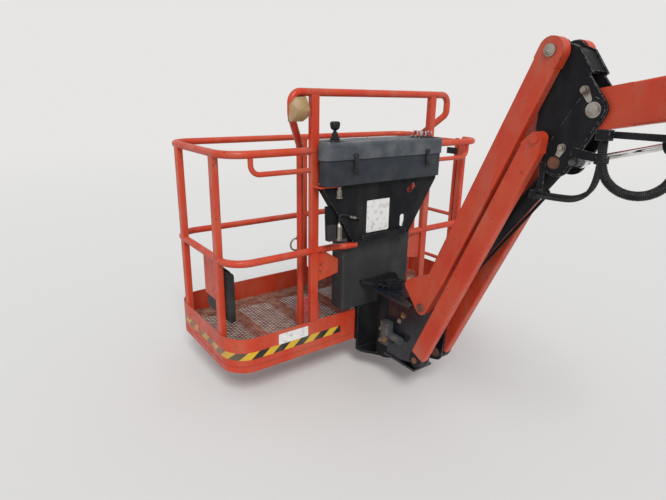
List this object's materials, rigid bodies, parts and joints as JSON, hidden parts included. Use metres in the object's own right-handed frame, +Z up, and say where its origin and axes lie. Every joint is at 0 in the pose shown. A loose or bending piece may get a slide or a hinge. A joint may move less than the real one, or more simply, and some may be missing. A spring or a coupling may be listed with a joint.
{
  "type": "boom lift work platform with jib",
  "caption": "Railed work platform with control console, rotator and parallelogram jib, on a short boom end with a bolted flange.",
  "frame": {"origin": "centre of the boom end's flange, on its back face", "axes": "+Y from the boom towards the platform, +Z up, +X to the platform's gate end; the boom slopes down at 11 degrees towards the platform"},
  "size_m": [1.83, 2.7522, 1.6874],
  "materials": {
    "orange_paint": "worn gloss",
    "dark_paint": "satin",
    "grey_paint": "satin",
    "boom_paint": "worn gloss",
    "zinc_steel": "dull",
    "bare_steel": "rusty",
    "rod_chrome": "polished",
    "cast_grey": "matte",
    "hose": "matte",
    "dark_plastic": "matte",
    "light_plastic": "matte",
    "tan_plastic": "matte",
    "red_plastic": "scuffed"
  },
  "bodies": {
    "boom": {"boom_tube": "boom_paint", "boom_nose": "boom_paint", "boom_flange": "boom_paint", "level_base_lugs": "boom_paint", "level_base_pin": "zinc_steel", "carrier_hose": "hose", "carrier_hose_brackets": "dark_paint"},
    "level_barrel": {"level_barrel": "dark_paint"},
    "level_rod": {"level_rod": "rod_chrome", "level_rod_pin": "zinc_steel"},
    "head": {"head_cheeks": "dark_paint", "head_webs": "dark_paint", "head_jib_pins": "zinc_steel", "head_link_pins": "zinc_steel", "head_ram_pin": "zinc_steel", "boom_nose_pin": "zinc_steel", "level_eye_pins": "zinc_steel", "pin_keepers": "dark_paint", "loop_hose_a": "hose", "loop_hose_b": "hose", "hose_bulkheads": "dark_paint"},
    "upper_link": {"upper_link_tubes": "orange_paint", "upper_link_ends": "orange_paint", "upper_link_cross_tube": "orange_paint"},
    "lower_link": {"lower_link_tubes": "orange_paint", "lower_link_knuckles": "dark_paint"},
    "jib_barrel": {"jib_ram_barrel": "dark_paint", "jib_ram_line": "dark_paint"},
    "jib_rod": {"jib_ram_rod": "rod_chrome", "jib_ram_rod_pin": "zinc_steel"},
    "carrier": {"carrier_bracket": "dark_paint", "foot_upper_pins": "zinc_steel", "foot_lower_pins": "zinc_steel", "rotator_housing": "dark_paint", "rotator_drive": "cast_grey"},
    "platform": {"yoke": "dark_paint", "rotator_shaft": "zinc_steel", "column": "grey_paint", "gussets": "orange_paint", "console_stand": "dark_paint", "console_tray": "dark_plastic", "console_lid": "light_plastic", "console_controls": "dark_plastic", "guard_bar": "orange_paint", "near_posts": "orange_paint", "top_rail": "orange_paint", "outer_posts": "orange_paint", "mid_rail": "orange_paint", "hand_loops": "orange_paint", "lamp": "tan_plastic", "toe_board": "orange_paint", "floor_frame": "orange_paint", "floor_mesh": "bare_steel", "foot_switch_cover": "red_plastic", "end_box": "dark_plastic", "end_plate": "orange_paint", "lanyard_rings": "zinc_steel", "gate_hinge_lugs": "orange_paint"},
    "gate": {"gate": "orange_paint", "gate_latch": "dark_plastic"}
  },
  "joints": [
    {"name": "head_level", "type": "hinge", "parent": "boom", "child": "head", "pos_m": [0, 0.7853, -0.15265], "axis": [1, 0, 0], "range_deg": [-78, 4]},
    {"name": "level_barrel_swing", "type": "hinge", "parent": "boom", "child": "level_barrel", "pos_m": [0, 0.21422, -0.15574], "axis": [1, 0, 0], "range_deg": [-0.27, 5.04]},
    {"name": "level_rod_extend", "type": "slide", "parent": "level_barrel", "child": "level_rod", "axis": [0, 0.9596, -0.2813], "range_m": [-0.23455, 0.01212]},
    {"name": "jib_lift", "type": "hinge", "parent": "head", "child": "upper_link", "pos_m": [0, 0.9453, 0.04335], "axis": [1, 0, 0], "range_deg": [0, 138]},
    {"name": "lower_link_swing", "type": "hinge", "parent": "head", "child": "lower_link", "pos_m": [0, 0.959, -0.26145], "axis": [1, 0, 0], "range_deg": [-0.01, 138.01]},
    {"name": "carrier_level", "type": "hinge", "parent": "upper_link", "child": "carrier", "pos_m": [0, 1.4553, -1.12865], "axis": [1, 0, 0], "range_deg": [-138.01, 0.01]},
    {"name": "jib_ram_swing", "type": "hinge", "parent": "head", "child": "jib_barrel", "pos_m": [0, 0.8993, -0.34565], "axis": [1, 0, 0], "range_deg": [-0.01, 128.89]},
    {"name": "jib_ram_extend", "type": "slide", "parent": "jib_barrel", "child": "jib_rod", "axis": [0, 0.579, -0.8153], "range_m": [-0.0001, 0.70336]},
    {"name": "platform_rotate", "type": "hinge", "parent": "carrier", "child": "platform", "pos_m": [0, 1.7843, -1.50765], "axis": [0, 0, 1], "range_deg": [-90, 90]},
    {"name": "gate_swing", "type": "hinge", "parent": "platform", "child": "gate", "pos_m": [0.894, 2.5233, -1.50765], "axis": [0, 0, 1], "range_deg": [-90, 0]}
  ],
  "couplings": [
    {"joint": "level_barrel_swing", "follows": "head_level", "ratio": -0.064434},
    {"joint": "level_rod_extend", "follows": "head_level", "m_per_rad": 0.17222},
    {"joint": "lower_link_swing", "follows": "jib_lift", "ratio": 1},
    {"joint": "carrier_level", "follows": "jib_lift", "ratio": -1},
    {"joint": "jib_ram_swing", "follows": "jib_lift", "ratio": 0.93394},
    {"joint": "jib_ram_extend", "follows": "jib_lift", "m_per_rad": 0.29198}
  ]
}
